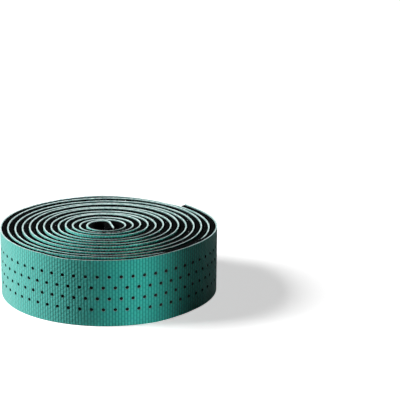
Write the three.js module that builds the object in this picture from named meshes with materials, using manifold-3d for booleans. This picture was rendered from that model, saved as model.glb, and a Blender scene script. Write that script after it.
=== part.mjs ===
// A roll of perforated bicycle handlebar tape, wound with its cover outside and lying on its
// edge. The tape is two bonded layers: an embossed plastic cover, and a black foam backing
// whose long edges are skived to a slope. Millimetres, +Z up, the floor at z = 0.

import * as THREE from 'three';
import { mergeGeometries, mergeVertices } from 'three/addons/utils/BufferGeometryUtils.js';
import Module from 'manifold-3d';

// The tape's section
const tapeWidth = 30;
const coverThickness = 0.7;
const foamThickness = 2.0;
const foamRecess = 0.3; // the foam's edge lies this far inside the cover's edge
const foamSkive = 0.9; // and slopes in by this much more across its thickness

// The winding, measured on the line where cover and foam meet, seen from above
const coreRadius = 6.5;
const turnCount = 12.85;
const turnSlack = 0.58; // the air between one turn and the next
const startAngle = THREE.MathUtils.degToRad( 100 );
const turnDrift = new THREE.Vector2( 0.12, - 0.1 ); // each turn's centre moves, so turns sit looser there
const turnPitch = coverThickness + foamThickness + turnSlack;
const windingEnd = turnCount * 2 * Math.PI;

// The inner end, folded across the core until it nearly meets the first turn
const foldRadius = 2.9;
const foldAngle = THREE.MathUtils.degToRad( 81 );
const foldSegments = 4;
const endClearance = 0.3;

// Perforations: staggered rows of round holes through the cover, foam showing in them
const holeDiameter = 1.3;
const holePitch = 5;
const holeRows = 4;
const rowSpacing = 4.9;
const lowestRow = 7.4; // the rows sit a little below the middle of the tape
const holeSides = 6;
const holeOvercut = 0.25; // the cutter stands past both faces of the cover

// How closely flat facets follow the hidden and inner turns
const facetHeight = 0.24;

const wasm = await Module();
wasm.setup();

// Radius and centre of the winding once it has turned by an angle from its start
function windingRadius( turned ) {

	return coreRadius + turnPitch * turned / ( 2 * Math.PI );

}

function windingPoint( turned, offset = 0 ) {

	const turns = turned / ( 2 * Math.PI );
	const angle = startAngle + turned;
	const radius = windingRadius( turned ) + offset;
	return new THREE.Vector2(
		turnDrift.x * turns + radius * Math.cos( angle ),
		turnDrift.y * turns + radius * Math.sin( angle )
	);

}

// The fold that leads from the flap into the winding: an arc that leaves the flap's
// straight line and meets the winding's start along its own direction
function foldLine() {

	const start = windingPoint( 0 );
	const heading = windingPoint( 0.001 ).sub( start ).angle();
	const centre = start.clone().add( alongHeading( heading + Math.PI / 2, foldRadius ) );
	const flapHeading = heading - foldAngle;
	const flapTop = centre.clone().sub( alongHeading( flapHeading + Math.PI / 2, foldRadius ) );
	return { centre, heading, flapHeading, flapTop, length: foldRadius * foldAngle };

}

function alongHeading( heading, distance ) {

	return new THREE.Vector2( Math.cos( heading ), Math.sin( heading ) ).multiplyScalar( distance );

}

// Length of the straight flap: its outer corner stops short of the first turn's foam
function flapLength( fold ) {

	const step = 0.05;
	const corner = fold.flapTop.clone().add( alongHeading( fold.flapHeading - Math.PI / 2, coverThickness ) );
	const back = alongHeading( fold.flapHeading + Math.PI, step );
	let length = 0;
	while ( clearOfFirstTurn( corner ) ) {

		corner.add( back );
		length += step;

	}

	return length;

}

function clearOfFirstTurn( point ) {

	const turned = THREE.MathUtils.euclideanModulo( point.angle() - startAngle, 2 * Math.PI );
	const foamFace = windingRadius( turned ) - foamThickness;
	return point.length() < foamFace - endClearance;

}

// The whole line from the flap's free end to the roll's outer end. Travel is millimetres
// back from the winding's start where it is negative, and radians wound where positive.
class TapeLine extends THREE.Curve {

	constructor() {

		super();
		this.fold = foldLine();
		this.stops = this.placeStops();

	}

	// One stop for each facet: one hole pitch apart on the outer turn, and wider on the
	// turns inside it, as far as the facet height lets them
	placeStops() {

		const stops = [ windingEnd ];
		let turned = windingEnd;
		while ( turned > windingEnd - 2 * Math.PI ) {

			turned -= holePitch / ( windingRadius( turned ) + coverThickness );
			stops.push( turned );

		}

		while ( turned > 0 ) {

			turned -= 2 * Math.acos( 1 - facetHeight / windingRadius( turned ) );
			stops.push( Math.max( turned, 0 ) );

		}

		for ( let i = 1; i <= foldSegments; i ++ ) stops.push( - this.fold.length * i / foldSegments );
		stops.push( - this.fold.length - flapLength( this.fold ) );
		return stops.reverse();

	}

	place( travel ) {

		if ( travel >= 0 ) return windingPoint( travel );
		const { centre, heading, flapHeading, flapTop, length } = this.fold;
		if ( travel < - length ) return flapTop.clone().add( alongHeading( flapHeading, travel + length ) );
		const turnedHeading = heading + travel / foldRadius;
		return centre.clone().sub( alongHeading( turnedHeading + Math.PI / 2, foldRadius ) );

	}

	getPoint( t, target = new THREE.Vector3() ) {

		const last = this.stops.length - 1;
		const index = Math.min( Math.floor( t * last ), last - 1 );
		const travel = THREE.MathUtils.lerp( this.stops[ index ], this.stops[ index + 1 ], t * last - index );
		const point = this.place( travel );
		return target.set( point.x, point.y, 0 );

	}

	// The stops set the spacing, not equal lengths
	getUtoTmapping( u ) {

		return u;

	}

}

// A layer of the tape: its section swept along the line. In the section, x runs down from
// the floor to minus the width, and y runs from the cover's side to the core's side.
function sweepLayer( line, corners ) {

	const section = new THREE.Shape( corners.map( ( [ height, depth ] ) => new THREE.Vector2( - height, depth ) ) );
	return new THREE.ExtrudeGeometry( section, { steps: line.stops.length - 1, extrudePath: line } );

}

function coverSection() {

	return [ [ 0, 0 ], [ tapeWidth, 0 ], [ tapeWidth, - coverThickness ], [ 0, - coverThickness ] ];

}

function foamSection() {

	const low = foamRecess;
	const high = tapeWidth - foamRecess;
	return [ [ low, 0 ], [ low + foamSkive, foamThickness ], [ high - foamSkive, foamThickness ], [ high, 0 ] ];

}

// One cutter for every hole of the outer turn. Each facet is one hole pitch long, and the
// rows stand in turn at its first and third quarter, so no hole meets a facet's edge.
function holeCutters( line ) {

	const cutters = [];
	const stops = line.stops.filter( ( stop ) => stop > windingEnd - 2 * Math.PI );
	for ( let facet = 0; facet < stops.length - 1; facet ++ ) {

		for ( let row = 0; row < holeRows; row ++ ) {

			const share = row % 2 ? 0.75 : 0.25;
			const turned = THREE.MathUtils.lerp( stops[ facet ], stops[ facet + 1 ], share );
			cutters.push( holeCutter( turned, lowestRow + row * rowSpacing ) );

		}

	}

	return mergeGeometries( cutters );

}

function holeCutter( turned, height ) {

	const length = coverThickness + 2 * holeOvercut;
	const middle = windingPoint( turned, coverThickness / 2 );
	const cutter = new THREE.CylinderGeometry( holeDiameter / 2, holeDiameter / 2, length, holeSides );
	cutter.rotateZ( startAngle + turned - Math.PI / 2 );
	return cutter.translate( middle.x, middle.y, height );

}

// Solids for the cut
function toSolid( geometry ) {

	const bare = geometry.clone();
	bare.deleteAttribute( 'normal' );
	bare.deleteAttribute( 'uv' );
	const merged = mergeVertices( bare, 1e-5 );
	return new wasm.Manifold( new wasm.Mesh( {
		numProp: 3,
		vertProperties: new Float32Array( merged.attributes.position.array ),
		triVerts: new Uint32Array( merged.index.array )
	} ) );

}

function toGeometry( solid ) {

	const mesh = solid.getMesh();
	const geometry = new THREE.BufferGeometry();
	geometry.setAttribute( 'position', new THREE.BufferAttribute( mesh.vertProperties, 3 ) );
	geometry.setIndex( new THREE.BufferAttribute( mesh.triVerts, 1 ) );
	geometry.computeVertexNormals();
	return geometry;

}

function makeCover( line ) {

	const strip = toSolid( sweepLayer( line, coverSection() ) );
	const perforated = strip.subtract( toSolid( holeCutters( line ) ) );
	const material = new THREE.MeshStandardMaterial( { color: 0x3a9e92, roughness: 0.6, metalness: 0 } );
	const mesh = new THREE.Mesh( toGeometry( perforated ), material );
	mesh.name = 'tape_cover';
	return mesh;

}

function makeFoam( line ) {

	const material = new THREE.MeshStandardMaterial( { color: 0x0e1012, roughness: 0.95, metalness: 0 } );
	const mesh = new THREE.Mesh( sweepLayer( line, foamSection() ), material );
	mesh.name = 'foam_backing';
	return mesh;

}

// The roll, with the middle of its base at the origin
const roll = new THREE.Group();
const line = new TapeLine();
roll.add( makeCover( line ), makeFoam( line ) );
const middle = new THREE.Box3().setFromObject( roll ).getCenter( new THREE.Vector3() );
roll.position.set( - middle.x, - middle.y, 0 );

export default roll;
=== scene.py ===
# %% [markdown]
# # A roll of handlebar tape
# Handlebar tape is a long strip of two bonded layers: an embossed plastic cover and a soft foam
# backing. Here it is wound into a flat roll with the cover outside. The strip is easiest to model
# the way it is made: flat first, with all its detail, and rolled up at the end.

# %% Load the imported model
import math

import bmesh
import bpy
import numpy as np
from mathutils import Matrix, Vector


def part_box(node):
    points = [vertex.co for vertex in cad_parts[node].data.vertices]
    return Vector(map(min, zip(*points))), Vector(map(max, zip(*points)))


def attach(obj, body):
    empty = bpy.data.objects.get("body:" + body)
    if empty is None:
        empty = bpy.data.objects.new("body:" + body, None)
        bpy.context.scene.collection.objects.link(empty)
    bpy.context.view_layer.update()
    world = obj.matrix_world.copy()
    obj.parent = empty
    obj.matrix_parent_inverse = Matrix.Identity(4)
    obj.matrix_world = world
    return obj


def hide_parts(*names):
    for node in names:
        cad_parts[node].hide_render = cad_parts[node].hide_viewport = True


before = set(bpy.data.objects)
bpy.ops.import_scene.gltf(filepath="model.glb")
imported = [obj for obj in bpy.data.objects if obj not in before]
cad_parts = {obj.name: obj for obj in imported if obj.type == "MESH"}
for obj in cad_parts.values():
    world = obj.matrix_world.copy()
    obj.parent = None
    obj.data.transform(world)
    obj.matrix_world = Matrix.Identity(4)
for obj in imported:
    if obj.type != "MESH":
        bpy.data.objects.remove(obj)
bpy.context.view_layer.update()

MM = 0.001
TINY = 0.001 * MM  # two places closer than this count as one
print("CAD nodes:", sorted(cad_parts))

# %% [markdown]
# ## The line that the tape follows
# Everything depends on one line: where cover and foam meet, seen from above. It starts at the
# free inner end with a short straight flap across the core, folds round in a tight arc, and then
# winds outwards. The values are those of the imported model, so the new pieces land exactly on it.

# %% Measures of the tape and of the winding
TAPE_WIDTH = 30 * MM
COVER_THICKNESS = 0.7 * MM
FOAM_THICKNESS = 2.0 * MM
CORE_RADIUS = 6.5 * MM
TURN_COUNT = 12.85
TURN_PITCH = 3.28 * MM
START_ANGLE = math.radians(100)
TURN_DRIFT = (0.12 * MM, -0.10 * MM)  # each turn's centre moves so far
FOLD_RADIUS = 2.9 * MM
FOLD_ANGLE = math.radians(81)
END_CLEARANCE = 0.3 * MM
OVAL = 1.01  # the soft roll has settled a little wider than it is deep
FULL_TURN = 2 * math.pi
print(f"{TURN_COUNT} turns on a pitch of {TURN_PITCH / MM:.2f} mm")

# %% The winding, the fold and the flap as one line
WINDING_POINTS, FOLD_POINTS, FLAP_POINTS = 24000, 80, 40
FLAP_STEP = 0.05 * MM


def winding_point(turned, offset=0.0):
    """Points of the winding, where turned is the angle wound since its start."""
    turns = turned / FULL_TURN
    radius = CORE_RADIUS + TURN_PITCH * turns + offset
    angle = START_ANGLE + turned
    return np.stack([TURN_DRIFT[0] * turns + radius * np.cos(angle),
                     TURN_DRIFT[1] * turns + radius * np.sin(angle)], axis=-1)


def along_heading(heading):
    return np.stack([np.cos(heading), np.sin(heading)], axis=-1)


def flap_length(top, heading):
    """The flap's outer corner stops just short of the first turn's foam."""
    corner = top + along_heading(heading - math.pi / 2) * COVER_THICKNESS
    length = 0.0
    while True:
        turned = (math.atan2(corner[1], corner[0]) - START_ANGLE) % FULL_TURN
        foam_face = CORE_RADIUS + TURN_PITCH * turned / FULL_TURN - FOAM_THICKNESS
        if np.hypot(*corner) >= foam_face - END_CLEARANCE:
            return length
        corner = corner - along_heading(heading) * FLAP_STEP
        length += FLAP_STEP


winding = winding_point(np.linspace(0, TURN_COUNT * FULL_TURN, WINDING_POINTS))
first_step = winding[1] - winding[0]
start_heading = math.atan2(first_step[1], first_step[0])
fold_centre = winding[0] + along_heading(start_heading + math.pi / 2) * FOLD_RADIUS
fold_headings = np.linspace(start_heading - FOLD_ANGLE, start_heading, FOLD_POINTS)
fold = fold_centre - along_heading(fold_headings + math.pi / 2) * FOLD_RADIUS
flap = flap_length(fold[0], fold_headings[0])
flap_steps = np.linspace(flap, 0, FLAP_POINTS)[:, None]
flap_line = fold[0] - along_heading(fold_headings[0]) * flap_steps

line = np.concatenate([flap_line[:-1], fold[:-1], winding])
winding_start = len(line) - WINDING_POINTS
line_turns = np.concatenate([np.zeros(winding_start), np.linspace(0, TURN_COUNT, WINDING_POINTS)])
line_length = np.concatenate([[0.0], np.cumsum(np.hypot(*np.diff(line, axis=0).T))])
tape_length = line_length[-1]
print(f"the tape is {tape_length:.3f} m long, {flap / MM:.1f} mm of it the flap")

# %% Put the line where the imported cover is
OUTLINE_POINTS = 3000
low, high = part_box("tape_cover")
last_turn = np.linspace((TURN_COUNT - 1) * FULL_TURN, TURN_COUNT * FULL_TURN, OUTLINE_POINTS)
outline = winding_point(last_turn, COVER_THICKNESS)
outline_middle = (outline.min(axis=0) + outline.max(axis=0)) / 2
shift = np.array([low.x + high.x, low.y + high.y]) / 2 - outline_middle
line = (line + shift) * (OVAL, 1)
heading_line = np.gradient(line, line_length, axis=0)
heading_line /= np.hypot(*heading_line.T)[:, None]
print("shift of the winding in mm:", np.round(shift / MM, 3))

# %% [markdown]
# ## Rolling the flat strip up
# A flat strip lies along X, with Y pointing to the core's side and Z across the tape's width.
# To roll it up, each vertex goes to its place along the line, and its Y becomes the distance to
# the left of the line. Before that, the flat coordinates are kept as a UV map, so that a pattern
# follows the tape round every turn. Real turns don't sit quite level, so each half turn has a
# small lift of its own, and it fades smoothly into the next.

# %% Uneven turns
# lifts in millimetres, from the innermost turn outwards, at the -Y side and the +Y side in turn
HALF_TURN_LIFTS = [-0.4, -0.9, -0.1, -0.9, 0.45, -0.3, 0.5, -0.85, -0.1, -0.85, 0.15, -0.3, 0.15,
                   -0.8, 0.1, -0.15, -0.25, -0.7, -0.4, -0.55, -0.5, -0.05, -0.25]
NEAR_SIDE = math.radians(270)
first_near = (NEAR_SIDE - START_ANGLE) / FULL_TURN
# the outer turn is seen all round, so its lifts are given at closer steps: (turns wound, lift)
OUTER_TURN_LIFTS = [
    (11.88, -1.0), (11.94, -0.35), (12.0, 0.2), (12.06, -0.05), (12.1, -0.2), (12.14, 0.0),
    (12.28, 0.1), (12.33, -0.1), (12.385, -0.15), (12.42, -0.8), (12.47, -0.6), (12.51, -0.45),
    (12.54, -0.15), (12.58, 0.35), (12.62, 0.75), (12.66, 0.6), (12.73, 0.0), (12.8, -0.5),
    (12.85, -0.5)]
lift_turns = [first_near + 0.5 * index for index in range(len(HALF_TURN_LIFTS))]
lift_turns += [turns for turns, _ in OUTER_TURN_LIFTS]
lifts = HALF_TURN_LIFTS + [lift for _, lift in OUTER_TURN_LIFTS]


def wander(along, spacing, size, seed):
    """Smooth random shifts of up to size along the tape, with a new value every spacing."""
    values = np.random.default_rng(seed).uniform(-1, 1, int(tape_length / spacing) + 3)
    place = along / spacing
    index = np.floor(place).astype(int)
    share = place - index
    share = share * share * (3 - 2 * share)
    return (values[index] * (1 - share) + values[index + 1] * share) * size


def turn_lift(along):
    turns = np.interp(along, line_length, line_turns)
    level = np.interp(turns, lift_turns, lifts) * MM
    return level + wander(along, spacing=9 * MM, size=0.05 * MM, seed=3)


print(f"lifts from {min(lifts)} to {max(lifts)} mm")

# %% Move flat vertices on to the winding
WEAVE_COLUMN = 1.272 * MM  # one column of grains along the tape
WEAVE_GRAIN = 2.19 * MM  # one grain and its gap across the tape
SINK_POWER = 4  # a turn that lies low sinks near its upper edge, as its lower one is on the floor


def coordinates(mesh):
    flat = np.empty(len(mesh.vertices) * 3)
    mesh.vertices.foreach_get("co", flat)
    return flat.reshape(-1, 3)


def keep_flat_map(mesh):
    """The UV map counts weave columns along the tape and grains across it."""
    flat = coordinates(mesh)
    corner = np.empty(len(mesh.loops), dtype=np.int32)
    mesh.loops.foreach_get("vertex_index", corner)
    uv = np.stack([flat[corner, 0] / WEAVE_COLUMN, flat[corner, 2] / WEAVE_GRAIN], axis=-1)
    layer = mesh.uv_layers.new(name="tape")
    layer.data.foreach_set("uv", uv.astype(np.float32).ravel())


def roll_up(mesh):
    """Wind a flat strip up, with each turn at its own lift and leaning a little in or out."""
    along, inward, height = coordinates(mesh).T
    x, y = (np.interp(along, line_length, axis) for axis in line.T)
    heading_x, heading_y = (np.interp(along, line_length, axis) for axis in heading_line.T)
    upward = height / TAPE_WIDTH
    inward = inward + wander(along, spacing=14 * MM, size=0.08 * MM, seed=5) * upward
    lift = turn_lift(along)
    raised = height + np.maximum(lift, 0) + np.minimum(lift, 0) * upward ** SINK_POWER
    wound = np.stack([x - heading_y * inward, y + heading_x * inward, raised], axis=-1)
    mesh.vertices.foreach_set("co", wound.ravel())
    mesh.update()


# %% [markdown]
# ## A strip with a section
# One grid makes any long strip: its columns are the stations along the tape and its rows follow
# the points of a section. A grid operator gives clean quads at once, and moving its rows on to the
# section is like bending a flat sheet of card. The section is closed, so the first and the last
# row are merged, and the two cut ends get one face each.

# %% Make a flat strip from a grid
def strip_from_grid(stations, section):
    """A bmesh strip along X. The section is a closed chain of (inward, height) points."""
    bm = bmesh.new()
    rows = len(section)
    columns = len(stations) - 1
    bmesh.ops.create_grid(bm, x_segments=columns, y_segments=rows, size=1.0)
    for vert in bm.verts:
        column = round((vert.co.x + 1) / 2 * columns)
        row = round((vert.co.y + 1) / 2 * rows)
        inward, height = section[row % rows]
        vert.co = (stations[column], inward, height)
    border = [vert for vert in bm.verts if vert.is_boundary]
    bmesh.ops.remove_doubles(bm, verts=border, dist=TINY)
    return bm


def cap_ends(bm, stations):
    """Close the two cut ends of a strip with one face each."""
    for station in (stations[0], stations[-1]):
        rim = [edge for edge in bm.edges if edge.is_boundary
               and all(abs(vert.co.x - station) < TINY for vert in edge.verts)]
        bmesh.ops.contextual_create(bm, geom=rim)


def finished_piece(bm, name):
    """A bmesh strip becomes an object, still flat, with its flat map kept."""
    bmesh.ops.recalc_face_normals(bm, faces=bm.faces)
    open_edges = sum(not edge.is_manifold for edge in bm.edges)
    mesh = bpy.data.meshes.new(name)
    bm.to_mesh(mesh)
    bm.free()
    keep_flat_map(mesh)
    mesh.shade_smooth()
    piece = bpy.data.objects.new(name, mesh)
    bpy.context.scene.collection.objects.link(piece)
    triangles = sum(len(face.vertices) - 2 for face in mesh.polygons)
    print(f"{name}: {triangles} triangles, {open_edges} open edges")
    return piece


# %% [markdown]
# ## The cover's cut edge
# The long edges of the cover are cut on a slope: the blade leaves a pale stripe that starts just
# below the top of the outer face, rounds over, and runs down towards the foam. From outside the
# roll it is a thin line, and from the core's side the whole slope shows. The section is written
# once, for the upper edge, and mirrored for the lower one.

# %% Section of the cover
EDGE_START = 0.08 * MM  # how far below its top edge the outer face ends
# millimetres inward, and down from the tape's edge
UPPER_EDGE = [(-0.70, 0.08), (-0.69, 0.04), (-0.65, 0.01), (-0.58, 0.0), (-0.35, 0.06),
              (-0.12, 0.14), (0.0, 0.20)]


def upper_points(profile):
    return [(inward * MM, TAPE_WIDTH - depth * MM) for inward, depth in profile]


def mirrored(points):
    """The same points at the tape's lower edge, in the order that carries the section on."""
    return [(inward, TAPE_WIDTH - height) for inward, height in reversed(points)]


def cover_section(face_heights):
    upper = upper_points(UPPER_EDGE)
    return mirrored(upper) + [(-COVER_THICKNESS, height) for height in face_heights] + upper


face_low, face_high = EDGE_START, TAPE_WIDTH - EDGE_START
print(f"outer face from {face_low / MM:.2f} to {face_high / MM:.2f} mm")

# %% [markdown]
# ## The embossed weave
# The cover is pressed with a fine weave: columns of short grains, with each column half a grain
# higher than its neighbour. A groove runs between the columns and a shallower one between the
# grains. The relief is real geometry on the faces that show, four vertices to a column, and the
# material adds the finest part of it with a bump.

# %% Relief of the weave
RELIEF_DEPTH = 0.12 * MM
RIB_FLAT, GRAIN_FLAT = 0.55, 0.6  # the share of a column and of a grain that is flat on top
GRAIN_SHARE = 0.7  # the gap between two grains is this much as deep as the groove
EMBOSS_FADE = 0.5 * MM  # the relief fades in over this height from the cut edge


def smooth_step(low_value, high_value, value):
    share = np.clip((value - low_value) / (high_value - low_value), 0, 1)
    return share * share * (3 - 2 * share)


def weave_relief(along, height):
    """How deep the surface lies below the top of the grains."""
    column = along / WEAVE_COLUMN
    stagger = 0.5 * (np.floor(column) % 2)
    across_rib = np.abs(column % 1 - 0.5) * 2
    across_grain = np.abs((height / WEAVE_GRAIN + stagger) % 1 - 0.5) * 2
    rib = 1 - smooth_step(RIB_FLAT, 1.0, across_rib)
    grain = 1 - smooth_step(GRAIN_FLAT, 1.0, across_grain)
    return RELIEF_DEPTH * (1 - rib * (1 - GRAIN_SHARE + GRAIN_SHARE * grain))


def emboss(mesh):
    """Press the weave into the outer face of a flat cover strip."""
    flat = coordinates(mesh)
    outer = np.abs(flat[:, 1] + COVER_THICKNESS) < TINY
    from_edge = np.minimum(flat[:, 2], TAPE_WIDTH - flat[:, 2])
    strength = smooth_step(EDGE_START, EDGE_START + EMBOSS_FADE, from_edge)
    flat[:, 1] += np.where(outer, weave_relief(flat[:, 0], flat[:, 2]) * strength, 0)
    mesh.vertices.foreach_set("co", flat.ravel())


def mark_cut_edge(mesh):
    """Millimetres past the outer face: below zero on it, above zero on the cut edge.
    The back gets a 2."""
    flat = coordinates(mesh)
    from_edge = np.minimum(flat[:, 2], TAPE_WIDTH - flat[:, 2])
    past_face = (flat[:, 1] + COVER_THICKNESS) / MM + (EDGE_START - from_edge) / MM
    on_back = np.abs(flat[:, 1]) < TINY
    value = np.where(on_back, 2, np.clip(past_face, -1, 1))
    layer = mesh.attributes.new("cut_edge", "FLOAT", "POINT")
    layer.data.foreach_set("value", value.astype(np.float32))


print(f"relief {RELIEF_DEPTH / MM:.2f} mm deep,",
      f"grains of {WEAVE_COLUMN / MM:.3f} by {WEAVE_GRAIN / MM:.2f} mm")

# %% [markdown]
# ## The outer turn and its perforations
# Only the outermost turn shows its whole face, so it gets the densest strip. Four staggered rows
# of round holes are sunk into it. In the flat strip a hole is made as on a real punch: the faces
# inside the circle are taken away, the ragged rim is pulled on to the circle, and the rim is
# extruded down to the foam. A black floor closes each hole, where the foam shows through the
# real one, and the back of the strip stays one clean face.

# %% Where the holes are
OUTER_TURNS = 1.04  # a little more than one turn, so the seam to the inner turns is covered
HOLE_RADIUS = 0.79 * MM
HOLE_DEPTH = 0.66 * MM
FACE_PITCH = 5.02 * MM  # from hole to hole on the outer face
FACE_RADIUS = 48.8 * MM
HOLE_PITCH = FACE_PITCH * (FACE_RADIUS - COVER_THICKNESS) / FACE_RADIUS  # the same along the line
HOLE_ROWS = 4
ROW_SPACING = 4.9 * MM
LOWEST_ROW = 7.4 * MM
ROW_PHASES = (0.77, 0.27)  # pitches from the tape's end to the last hole, in even and odd rows
outer_start = float(np.interp(TURN_COUNT - OUTER_TURNS, line_turns[winding_start:],
                              line_length[winding_start:]))


def nearest_hole(along, height):
    row = min(max(round((height - LOWEST_ROW) / ROW_SPACING), 0), HOLE_ROWS - 1)
    phase = ROW_PHASES[row % 2]
    count = round((tape_length - along) / HOLE_PITCH - phase)
    middle = tape_length - (count + phase) * HOLE_PITCH
    middle = min(max(middle, outer_start + 2 * HOLE_RADIUS), tape_length - phase * HOLE_PITCH)
    return Vector((middle, 0, LOWEST_ROW + row * ROW_SPACING))


def on_outer_face(point):
    return abs(point.y + COVER_THICKNESS) < TINY


print(f"outer turn from {outer_start:.3f} m to {tape_length:.3f} m along the tape")

# %% Punch the outer turn
COLUMN_STATIONS = 4  # stations to one weave column
FACE_ROWS = 80
station_count = round((tape_length - outer_start) / (WEAVE_COLUMN / COLUMN_STATIONS)) + 1
stations = np.linspace(outer_start, tape_length, station_count)
face_rows = np.linspace(face_low, face_high, FACE_ROWS + 1)[1:-1]
bm = strip_from_grid(stations, cover_section(list(face_rows)))
pierced = bm.verts.layers.float.new("pierced")

punched = []
for face in bm.faces:
    middle = face.calc_center_median()
    if on_outer_face(middle):
        hole = nearest_hole(middle.x, middle.z)
        if math.hypot(middle.x - hole.x, middle.z - hole.z) < HOLE_RADIUS:
            punched.append(face)
bmesh.ops.delete(bm, geom=punched, context="FACES")

rim_edges = [edge for edge in bm.edges if edge.is_boundary
             and all(on_outer_face(vert.co) and outer_start + TINY < vert.co.x < tape_length - TINY
                     for vert in edge.verts)]
for vert in {vert for edge in rim_edges for vert in edge.verts}:
    centre = nearest_hole(vert.co.x, vert.co.z)
    out = Vector((vert.co.x - centre.x, 0, vert.co.z - centre.z)).normalized() * HOLE_RADIUS
    vert.co.x, vert.co.z = centre.x + out.x, centre.z + out.z
walls = bmesh.ops.extrude_edge_only(bm, edges=rim_edges)["geom"]
wall_verts = [item for item in walls if isinstance(item, bmesh.types.BMVert)]
bmesh.ops.translate(bm, verts=wall_verts, vec=(0, HOLE_DEPTH, 0))
# the bottom of each wall is marked, so the material paints the wall black going down, as painted
# shade
for vert in wall_verts:
    vert[pierced] = 1.0
floor_rims = [item for item in walls if isinstance(item, bmesh.types.BMEdge) and item.is_boundary]
bmesh.ops.holes_fill(bm, edges=floor_rims, sides=0)
print(f"{len(punched)} faces punched out, {len(floor_rims)} edges round the floors")

# %% Close the ends of the outer turn
cap_ends(bm, stations)
outer_turn = finished_piece(bm, "cover_outer_turn")

# %% [markdown]
# ## The inner turns of the cover
# Of the twelve turns inside it, only the edges and a narrow band below them can be seen. Their
# strip is one closed section with its rows gathered near both edges, and its stations are half a
# weave column apart, so that a crest and a groove of the weave each get a vertex.

# %% Inner turns
SHARP_ANGLE = math.radians(38)  # edges that fold more than this are shaded sharp
inner_count = round(outer_start / (WEAVE_COLUMN / 2)) + 1
inner_stations = np.linspace(0, outer_start, inner_count)
band = [depth * MM for depth in (0.55, 0.9, 1.27, 1.64, 2.0, 2.4)]
inner_rows = band + [TAPE_WIDTH - height for height in reversed(band)]
bm = strip_from_grid(inner_stations, cover_section(inner_rows))
cap_ends(bm, inner_stations)
inner_turns = finished_piece(bm, "cover_inner_turns")

for piece in (outer_turn, inner_turns):
    emboss(piece.data)
    mark_cut_edge(piece.data)
    roll_up(piece.data)
    piece.data.set_sharp_from_angle(angle=SHARP_ANGLE)

# %% [markdown]
# ## The foam backing
# The foam ends a little below the cover's edge. It is lowest where it is bonded to the cover, so a
# black groove runs beside each pale line, and rises to a low ridge behind it. Knife and handling
# leave that ridge torn and crumbly. The strip has a few rows over it, and their vertices are
# jittered by small seeded amounts.

# %% Foam strip
# millimetres inward, and down from the tape's edge
FOAM_EDGE = [(0.0, 0.58), (0.25, 0.48), (0.6, 0.35), (1.0, 0.30), (1.4, 0.30), (1.8, 0.32),
             (2.0, 0.45)]
FOAM_STEP = 0.8 * MM
BACK_MARGIN = 2.6 * MM  # the back's outer rows lie this far from the tape's edges
foam_upper = upper_points(FOAM_EDGE)
foam_back = [(FOAM_THICKNESS, height)
             for height in (TAPE_WIDTH - BACK_MARGIN, TAPE_WIDTH / 2, BACK_MARGIN)]
foam_stations = np.linspace(0, tape_length, round(tape_length / FOAM_STEP) + 1)
bm = strip_from_grid(foam_stations, foam_upper + foam_back + mirrored(foam_upper))
cap_ends(bm, foam_stations)
foam = finished_piece(bm, "foam_strip")

# %% Crumble its edges
CRUMB_SIZE, CRUMB_LIMIT = 0.06 * MM, 0.18 * MM  # up and down
TEAR_SIZE, TEAR_LIMIT = 0.04 * MM, 0.1 * MM  # in and out
CRUMBLE_HEIGHT = 2.0 * MM
BOND_DEPTH = 0.1 * MM


def crumble(mesh):
    """Jitter the edge: ragged where it was cut, and not at all where it is bonded."""
    flat = coordinates(mesh)
    random = np.random.default_rng(11)
    from_edge = np.minimum(flat[:, 2], TAPE_WIDTH - flat[:, 2])
    on_edge = (from_edge < CRUMBLE_HEIGHT) & (flat[:, 1] > BOND_DEPTH)
    outward = np.where(flat[:, 2] > TAPE_WIDTH / 2, 1, -1)
    crumbs = random.normal(0, CRUMB_SIZE, len(flat))
    crumbs += wander(flat[:, 0], spacing=2.5 * MM, size=0.08 * MM, seed=17)
    tears = random.normal(0, TEAR_SIZE, len(flat))
    flat[:, 2] += np.where(on_edge, np.clip(crumbs, -CRUMB_LIMIT, CRUMB_LIMIT) * outward, 0)
    flat[:, 1] += np.where(on_edge, np.clip(tears, -TEAR_LIMIT, TEAR_LIMIT), 0)
    mesh.vertices.foreach_set("co", flat.ravel())


crumble(foam.data)
roll_up(foam.data)

# %% Each piece rides on the roll and stands for its CAD node
for piece in (outer_turn, inner_turns):
    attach(piece, "root")
    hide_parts("tape_cover")
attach(foam, "root")
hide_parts("foam_backing")

# %% [markdown]
# ## Shared effects as node groups
# Two effects are built once as groups. The weave is drawn from the UV map, so its grains lie on
# those of the relief, and it gives a height for the bump and a mask of painted shade, which darkens
# the colour in its grooves and gaps. The mottling breaks up every even surface, on cover and foam
# alike.


# %% Helpers for node trees
def math_node(tree, operation, *values):
    node = tree.nodes.new("ShaderNodeMath")
    node.operation = operation
    for socket, value in zip(node.inputs, values):
        if isinstance(value, (int, float)):
            socket.default_value = value
        else:
            tree.links.new(value, socket)
    return node.outputs[0]


def step_node(tree, value, span, result=(0.0, 1.0)):
    """A smooth step: over the span of values it goes from the first result to the second."""
    node = tree.nodes.new("ShaderNodeMapRange")
    node.interpolation_type = "SMOOTHSTEP"
    tree.links.new(value, node.inputs["Value"])
    for name, number in zip(("From Min", "From Max", "To Min", "To Max"), span + result):
        node.inputs[name].default_value = number
    return node.outputs["Result"]


def mix_node(tree, share, first, second):
    node = tree.nodes.new("ShaderNodeMix")
    node.data_type = "RGBA"
    factor, colour_a, colour_b = (node.inputs[index] for index in (0, 6, 7))
    for socket, value in ((factor, share), (colour_a, first), (colour_b, second)):
        if isinstance(value, (int, float, tuple)):
            socket.default_value = value
        else:
            tree.links.new(value, socket)
    return node.outputs[2]


def new_group(name, inputs, outputs):
    group = bpy.data.node_groups.new(name, "ShaderNodeTree")
    for direction, sockets in (("INPUT", inputs), ("OUTPUT", outputs)):
        for socket_name, kind in sockets:
            group.interface.new_socket(name=socket_name, in_out=direction, socket_type=kind)
    entry, exit_node = group.nodes.new("NodeGroupInput"), group.nodes.new("NodeGroupOutput")
    return group, entry.outputs, exit_node.inputs
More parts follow.
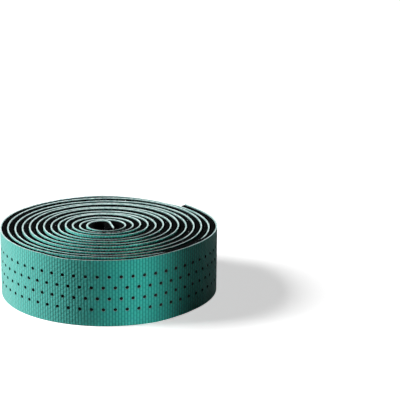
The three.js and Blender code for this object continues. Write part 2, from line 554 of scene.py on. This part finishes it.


# %% Weave group
# distances from the middle of a column or a grain, where it ends at 0.5: the top's end, the gap,
# and where painted shade darkens the gap's colour
RIB_SPAN, GRAIN_SPAN, GAP_SHADE_SPAN = (0.14, 0.45), (0.28, 0.5), (0.2, 0.5)
# in a gap the colour keeps only this share of its light teal, and the rest is painted shade
GAP_HEIGHT, GAP_UNSHADED = 0.1, 0.52  # of a grain's height and of its light teal, this is left in a gap

weave_group, group_in, group_out = new_group(
    "Pressed weave", [("Vector", "NodeSocketVector")],
    [("Height", "NodeSocketFloat"), ("Painted shade", "NodeSocketFloat")])


def from_middle(tree, count):
    """How far a place is from the middle of its column or grain: 0 there and 0.5 at its ends."""
    part = math_node(tree, "FRACT", count)
    return math_node(tree, "ABSOLUTE", math_node(tree, "SUBTRACT", part, 0.5))


split = weave_group.nodes.new("ShaderNodeSeparateXYZ")
weave_group.links.new(group_in["Vector"], split.inputs[0])
column, grain_row = split.outputs[0], split.outputs[1]
odd_column = math_node(weave_group, "MODULO", math_node(weave_group, "FLOOR", column), 2.0)
stagger = math_node(weave_group, "MULTIPLY", odd_column, 0.5)
rib_place = from_middle(weave_group, column)
grain_place = from_middle(weave_group, math_node(weave_group, "ADD", grain_row, stagger))
rib_top = step_node(weave_group, rib_place, RIB_SPAN, (1.0, 0.0))
grain_top = step_node(weave_group, grain_place, GRAIN_SPAN, (1.0, GAP_HEIGHT))
grain_unshaded = step_node(weave_group, grain_place, GAP_SHADE_SPAN, (1.0, GAP_UNSHADED))
weave_group.links.new(math_node(weave_group, "MULTIPLY", rib_top, grain_top), group_out["Height"])
# painted shade: one minus the light share, so the grooves and gaps are painted darker
unshaded_share = math_node(weave_group, "MULTIPLY", rib_top, grain_unshaded)
weave_group.links.new(math_node(weave_group, "SUBTRACT", 1.0, unshaded_share), group_out["Painted shade"])

# %% Mottling group
mottle_group, group_in, group_out = new_group(
    "Fine mottling", [("Vector", "NodeSocketVector"), ("Scale", "NodeSocketFloat")],
    [("Value", "NodeSocketFloat"), ("Broad", "NodeSocketFloat")])
for output, factor, detail in (("Value", 1.0, 4.0), ("Broad", 0.12, 2.0)):
    noise = mottle_group.nodes.new("ShaderNodeTexNoise")
    noise.inputs["Detail"].default_value = detail
    scale = math_node(mottle_group, "MULTIPLY", group_in["Scale"], factor)
    mottle_group.links.new(group_in["Vector"], noise.inputs["Vector"])
    mottle_group.links.new(scale, noise.inputs["Scale"])
    mottle_group.links.new(noise.outputs["Fac"], group_out[output])
print("node groups:", [group.name for group in bpy.data.node_groups])


# %% Start of a material
def new_material(name):
    material = bpy.data.materials.new(name)
    material.use_nodes = True
    tree = material.node_tree
    return material, tree, tree.nodes["Principled BSDF"]


def object_place(tree):
    return tree.nodes.new("ShaderNodeTexCoord").outputs["Object"]


def vertex_value(tree, name):
    attribute = tree.nodes.new("ShaderNodeAttribute")
    attribute.attribute_name = name
    return attribute.outputs["Fac"]


def add_group(tree, group, **values):
    node = tree.nodes.new("ShaderNodeGroup")
    node.node_tree = group
    for name, value in values.items():
        if isinstance(value, (int, float)):
            node.inputs[name].default_value = value
        else:
            tree.links.new(value, node.inputs[name])
    return node.outputs


def add_bump(tree, height, strength, distance, normal=None):
    bump = tree.nodes.new("ShaderNodeBump")
    bump.inputs["Strength"].default_value = strength
    bump.inputs["Distance"].default_value = distance
    tree.links.new(height, bump.inputs["Height"])
    if normal is not None:
        tree.links.new(normal, bump.inputs["Normal"])
    return bump.outputs["Normal"]


# %% [markdown]
# ## The cover's finish
# The cover is matte polyurethane, dyed through in teal, and its grooves are painted a darker teal
# as painted shade. Along the cut edge the pale core of the sheet shows. The border between the two
# is ragged, so a noise shifts it a few hundredths of a millimetre to and fro. The back is painted a
# dull grey-teal as painted shade, and a hole's wall is painted black going down as painted shade.

# %% Cover material
TEAL = (0.050, 0.54, 0.46, 1)
# painted shade: the darker teal painted into the weave's grooves and gaps
TEAL_PAINTED_SHADE = (0.019, 0.28, 0.235, 1)
PALE_EDGE = (0.70, 0.87, 0.85, 1)
EDGE_SHADE = (0.22, 0.44, 0.42, 1)
# painted shade: the cover's back, seen on the far side of the roll, is painted a dull grey-teal
BACK_PAINTED_SHADE = (0.09, 0.19, 0.18, 1)
# black foam on a hole's floor, and painted shade on its wall
HOLE_FOAM_AND_SHADE = (0.001, 0.001, 0.001, 1)
FINE_SCALE, SOFT_SCALE = 2500.0, 600.0  # noise features to the metre, about
RAGGED = 0.10  # how far the noise shifts the border of the cut edge, in millimetres
EDGE_BLEND, BACK_BLEND = (0.0, 0.05), (0.6, 1.3)  # values of cut_edge: teal to pale, pale to the back's painted shade
HOLE_BLEND = (0.05, 0.35)  # shares of a hole's depth over which its wall turns black, as painted shade
PALE_PATCHES = (0.3, 0.6)  # noise values: shaded below, pale above
COVER_BREADTH, COVER_ROUGHNESS = (0.3, 0.7), (0.44, 0.58)  # noise values, and the roughness there

cover_material, tree, shader = new_material("Teal cover")
uv = tree.nodes.new("ShaderNodeUVMap")
uv.uv_map = "tape"
place = object_place(tree)
weave = add_group(tree, weave_group, Vector=uv.outputs[0])
fine = add_group(tree, mottle_group, Vector=place, Scale=FINE_SCALE)
soft = add_group(tree, mottle_group, Vector=place, Scale=SOFT_SCALE)
cut = vertex_value(tree, "cut_edge")
shake = math_node(tree, "MULTIPLY", math_node(tree, "SUBTRACT", soft["Value"], 0.5), RAGGED)
edge_mask = step_node(tree, math_node(tree, "ADD", cut, shake), EDGE_BLEND)
# where the cut edge turns into the back's painted shade
back_shade_mask = step_node(tree, cut, BACK_BLEND)
# down a hole's wall the colour turns black as painted shade, and the floor is the black foam
hole_foam_and_shade_mask = step_node(tree, vertex_value(tree, "pierced"), HOLE_BLEND)
# painted shade darkens the teal in the weave's grooves and gaps
teal = mix_node(tree, weave["Painted shade"], TEAL, TEAL_PAINTED_SHADE)
pale = mix_node(tree, step_node(tree, soft["Value"], PALE_PATCHES), EDGE_SHADE, PALE_EDGE)
edged = mix_node(tree, back_shade_mask, mix_node(tree, edge_mask, teal, pale), BACK_PAINTED_SHADE)
roughness = step_node(tree, fine["Broad"], COVER_BREADTH, COVER_ROUGHNESS)
weave_normal = add_bump(tree, weave["Height"], strength=0.5, distance=0.06 * MM)
cover_normal = add_bump(tree, fine["Value"], strength=0.25, distance=0.02 * MM,
                        normal=weave_normal)
tree.links.new(mix_node(tree, hole_foam_and_shade_mask, edged, HOLE_FOAM_AND_SHADE), shader.inputs["Base Color"])
tree.links.new(roughness, shader.inputs["Roughness"])
tree.links.new(cover_normal, shader.inputs["Normal"])
shader.inputs["Specular IOR Level"].default_value = 0.03
shader.inputs["Sheen Weight"].default_value = 1.0
shader.inputs["Sheen Tint"].default_value = (0.8, 1.0, 0.98, 1)
shader.inputs["Sheen Roughness"].default_value = 0.5
for piece in (outer_turn, inner_turns):
    piece.data.materials.append(cover_material)

# %% [markdown]
# ## The foam's finish
# The foam is nearly black and quite matte. Its torn edge catches a few bright crumbs, which a
# sharply cut noise scatters, and a fine bump makes the open cells.

# %% Foam material
FOAM_BLACK = (0.0008, 0.0009, 0.001, 1)
FOAM_WORN = (0.0025, 0.003, 0.0032, 1)
CRUMB = (0.35, 0.42, 0.42, 1)
CELL_SCALE, CRUMB_SCALE = 3500.0, 900.0
WORN_PATCHES, CRUMB_PATCHES = (0.35, 0.65), (0.70, 0.74)  # noise values: worn or a crumb above

foam_material, tree, shader = new_material("Black foam")
place = object_place(tree)
cells = add_group(tree, mottle_group, Vector=place, Scale=CELL_SCALE)
crumbs = add_group(tree, mottle_group, Vector=place, Scale=CRUMB_SCALE)
dark = mix_node(tree, step_node(tree, cells["Broad"], WORN_PATCHES), FOAM_BLACK, FOAM_WORN)
foam_colour = mix_node(tree, step_node(tree, crumbs["Value"], CRUMB_PATCHES), dark, CRUMB)
foam_normal = add_bump(tree, cells["Value"], strength=0.6, distance=0.08 * MM)
tree.links.new(foam_colour, shader.inputs["Base Color"])
tree.links.new(foam_normal, shader.inputs["Normal"])
shader.inputs["Roughness"].default_value = 0.9
shader.inputs["Specular IOR Level"].default_value = 0.01
foam.data.materials.append(foam_material)

# %% [markdown]
# ## Floor and light
# The roll lies on a plain white floor that runs out of sight. For the camera it glows a little, so
# it is white without more light on the roll, and it still takes the roll's shadow. The main light
# is a large soft box at the left. A weak fill comes in low from the front, beside a narrow lamp
# that brightens one upright band of the roll, and an even surround keeps the shade from going
# quite black.

# %% Floor
FLOOR_HALF_WIDTH = 6.0
FLOOR_DROP = 0.1 * MM  # the floor lies this far below the roll, so their faces never meet
FLOOR_LIT = (0.18, 0.18, 0.18, 1)  # for the light that it throws back at the roll
FLOOR_SEEN = (0.8, 0.8, 0.8, 1)  # for the camera and for reflections
GLOW_SPAN, GLOW_STRENGTH = (0.1, 0.5), (0.6, 1.0)  # metres from the roll, and the glow there

bm = bmesh.new()
bmesh.ops.create_grid(bm, x_segments=1, y_segments=1, size=FLOOR_HALF_WIDTH)
floor_mesh = bpy.data.meshes.new("floor")
bm.to_mesh(floor_mesh)
bm.free()
floor = bpy.data.objects.new("floor", floor_mesh)
bpy.context.scene.collection.objects.link(floor)
floor_mesh.transform(Matrix.Translation((0, 0, -FLOOR_DROP)))


def seen_directly(tree):
    """One for rays that show the floor or the surround, and zero for the light they give off."""
    rays = tree.nodes.new("ShaderNodeLightPath")
    mirrored_ray = math_node(tree, "MAXIMUM", rays.outputs["Is Glossy Ray"],
                             rays.outputs["Is Transmission Ray"])
    return math_node(tree, "MAXIMUM", rays.outputs["Is Camera Ray"], mirrored_ray)


floor_material, tree, shader = new_material("White floor")
seen = seen_directly(tree)
far = tree.nodes.new("ShaderNodeVectorMath")
far.operation = "LENGTH"
tree.links.new(object_place(tree), far.inputs[0])
glow = step_node(tree, far.outputs["Value"], GLOW_SPAN, GLOW_STRENGTH)
tree.links.new(mix_node(tree, seen, FLOOR_LIT, FLOOR_SEEN), shader.inputs["Base Color"])
tree.links.new(math_node(tree, "MULTIPLY", seen, glow), shader.inputs["Emission Strength"])
shader.inputs["Emission Color"].default_value = (1, 1, 1, 1)
shader.inputs["Roughness"].default_value = 0.9
shader.inputs["Specular IOR Level"].default_value = 0.0
floor_mesh.materials.append(floor_material)

# %% Lamps
LAMP_TARGET = Vector((0, 0, TAPE_WIDTH / 2))


def soft_box(name, azimuth, elevation, distance, power, size):
    """A soft box that looks at the middle of the roll: degrees, metres and watts."""
    lamp = bpy.data.lights.new(name, "AREA")
    lamp.shape = "RECTANGLE"
    lamp.size, lamp.size_y = size
    lamp.energy = power
    holder = bpy.data.objects.new(name, lamp)
    bpy.context.scene.collection.objects.link(holder)
    turn, rise = math.radians(azimuth), math.radians(elevation)
    offset = Vector((math.cos(turn) * math.cos(rise), math.sin(turn) * math.cos(rise),
                     math.sin(rise))) * distance
    holder.location = LAMP_TARGET + offset
    holder.rotation_euler = offset.to_track_quat("Z", "Y").to_euler()
    return lamp


soft_box("key_box", azimuth=181, elevation=35, distance=0.9, power=14.5, size=(0.4, 0.4))
soft_box("fill_box", azimuth=284, elevation=4, distance=0.9, power=0.07, size=(0.4, 0.1))
narrow = soft_box("front_box", azimuth=288, elevation=5, distance=0.8, power=0.0051,
                  size=(0.02, 0.1))
narrow.spread = math.radians(3)

# %% Surround
AMBIENT = 0.007
world = bpy.data.worlds.new("Surround")
bpy.context.scene.world = world
world.use_nodes = True
tree = world.node_tree
background = tree.nodes["Background"]
background.inputs["Color"].default_value = (1, 1, 1, 1)
shown = math_node(tree, "MULTIPLY", seen_directly(tree), 1 - AMBIENT)
tree.links.new(math_node(tree, "ADD", AMBIENT, shown), background.inputs["Strength"])

# %% [markdown]
# ## Camera
# The camera looks down at a shallow angle from a fair distance with a long lens, as in a product
# picture, so the far side of the roll is hardly smaller than the near side.

# %% Camera
LENS, SENSOR_WIDTH = 125.3, 36
CAMERA_PLACE = (0.0407, -0.60362, 0.22037)
LOOK_DOWN, ROLL = math.radians(90 - 16.539), math.radians(0.669)

camera_data = bpy.data.cameras.new("camera")
camera_data.lens = LENS
camera_data.sensor_width = SENSOR_WIDTH
camera_data.clip_end = 50
camera = bpy.data.objects.new("camera", camera_data)
bpy.context.scene.collection.objects.link(camera)
tilt = Matrix.Rotation(LOOK_DOWN, 4, "X") @ Matrix.Rotation(ROLL, 4, "Z")
camera.matrix_world = Matrix.Translation(CAMERA_PLACE) @ tilt
bpy.context.scene.camera = camera
bpy.context.scene.view_settings.view_transform = "Standard"
